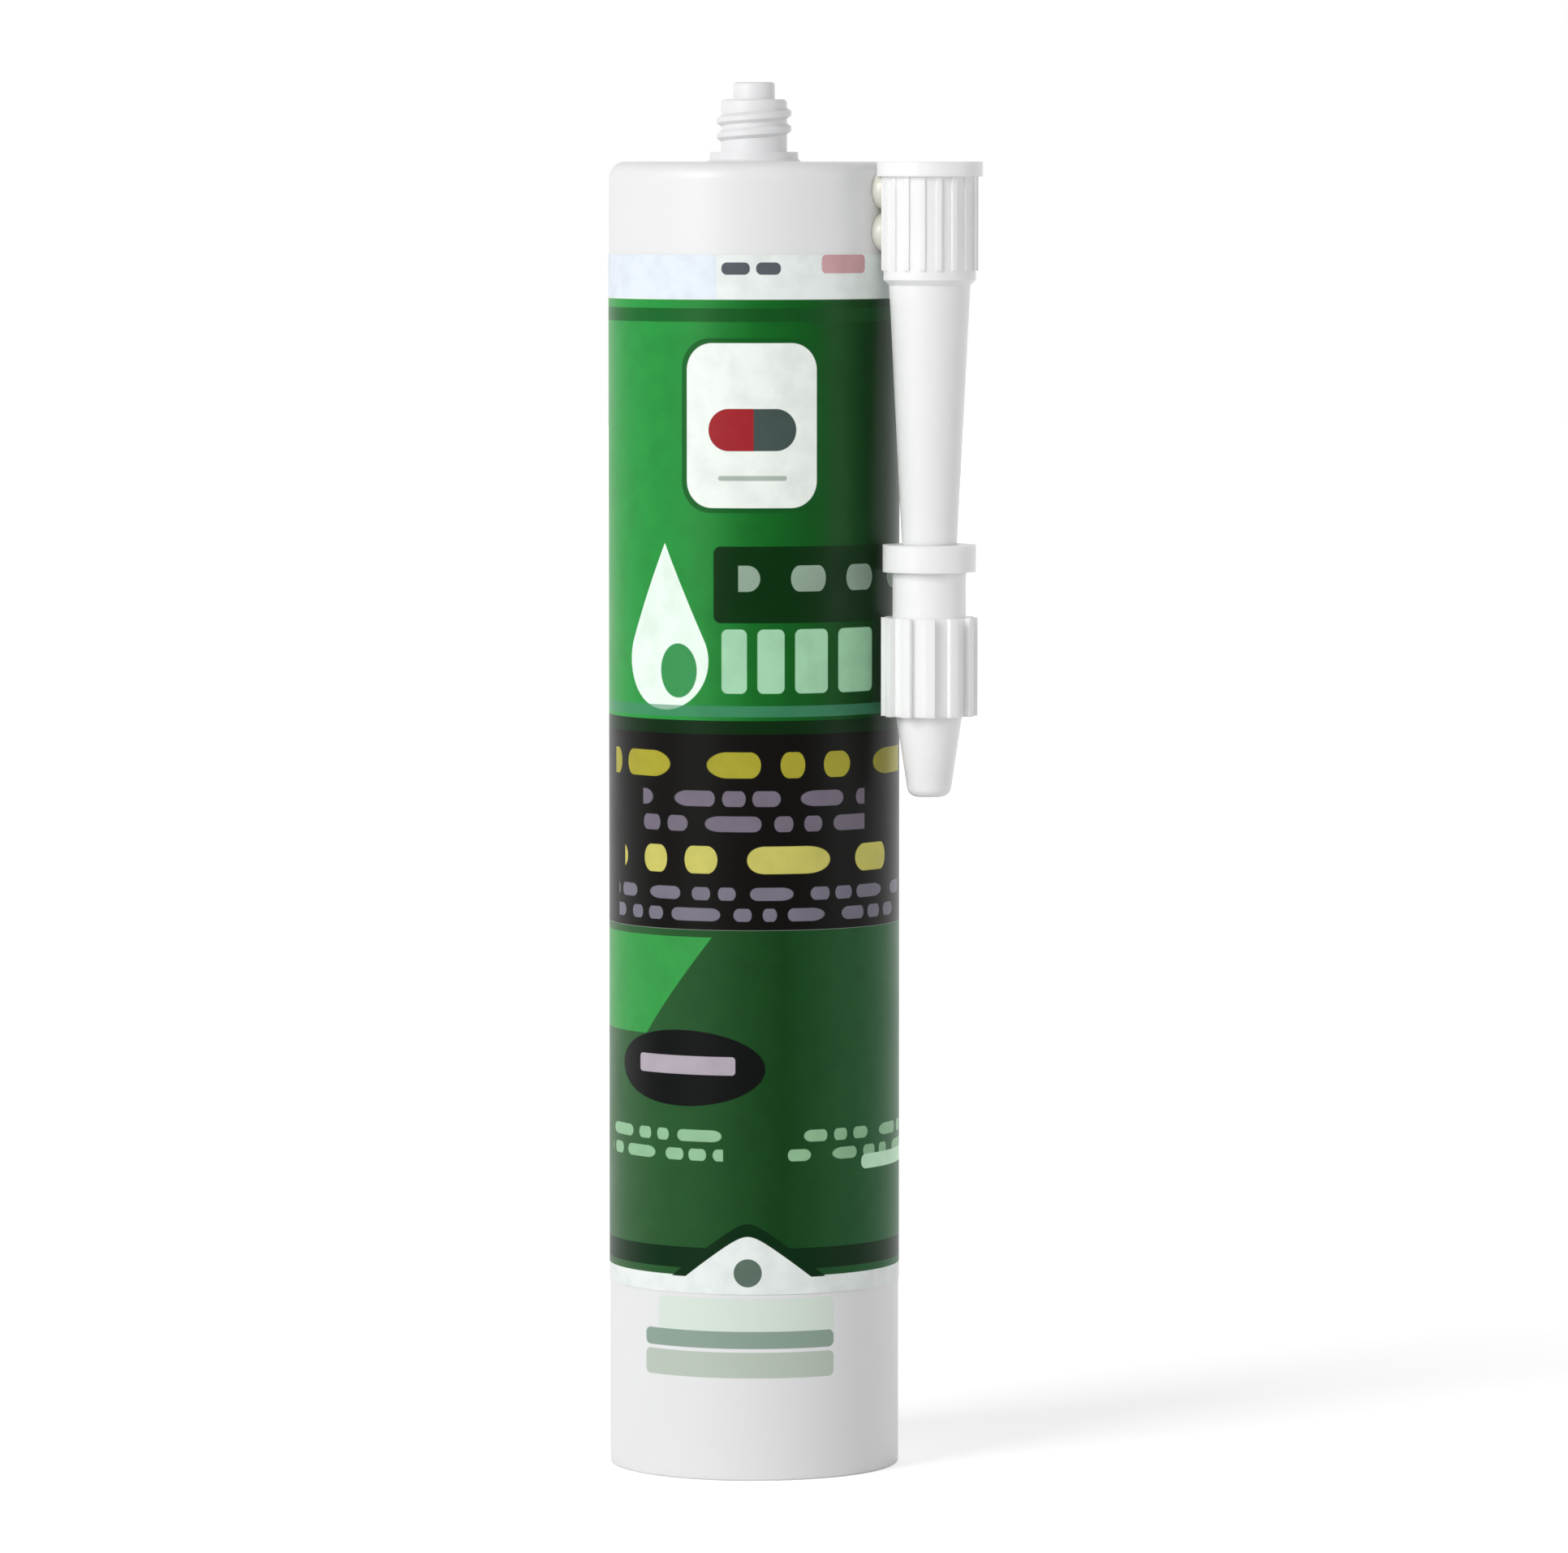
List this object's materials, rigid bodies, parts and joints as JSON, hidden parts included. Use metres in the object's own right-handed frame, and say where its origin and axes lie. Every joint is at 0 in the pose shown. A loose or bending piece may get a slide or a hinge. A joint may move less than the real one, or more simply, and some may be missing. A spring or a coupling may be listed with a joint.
{
  "type": "caulk tube",
  "caption": "Sealant cartridge with a sliding piston, a wrap label, a closed threaded spout, and a capped nozzle glued to its side.",
  "frame": {"origin": "on the barrel's axis, in the plane of its open rear rim", "axes": "+Z along the barrel towards the spout; the label's front faces -Y and the nozzle is on the +X side, towards the front"},
  "size_m": [0.061, 0.0483, 0.227],
  "materials": {
    "barrel_plastic": "moulded white polyethylene, satin",
    "piston_plastic": "natural polyethylene",
    "sealant": "uncured paste",
    "label_film": "printed film",
    "nozzle_plastic": "translucent moulded polyethylene",
    "glue": "clear hot melt"
  },
  "bodies": {
    "tube": {"barrel": "barrel_plastic", "sealant": "sealant", "label": "label_film", "nozzle": "nozzle_plastic", "upper_glue_dot": "glue", "lower_glue_dot": "glue"},
    "piston": {"piston": "piston_plastic"},
    "cap": {"nozzle_cap": "nozzle_plastic"}
  },
  "joints": [
    {"name": "piston_slide", "type": "slide", "parent": "tube", "child": "piston", "axis": [0, 0, 1], "range_m": [0, 0.18], "deforming": ["sealant"]},
    {"name": "cap_pull", "type": "slide", "parent": "tube", "child": "cap", "axis": [0, 0, -1], "range_m": [0, 0.045]}
  ]
}
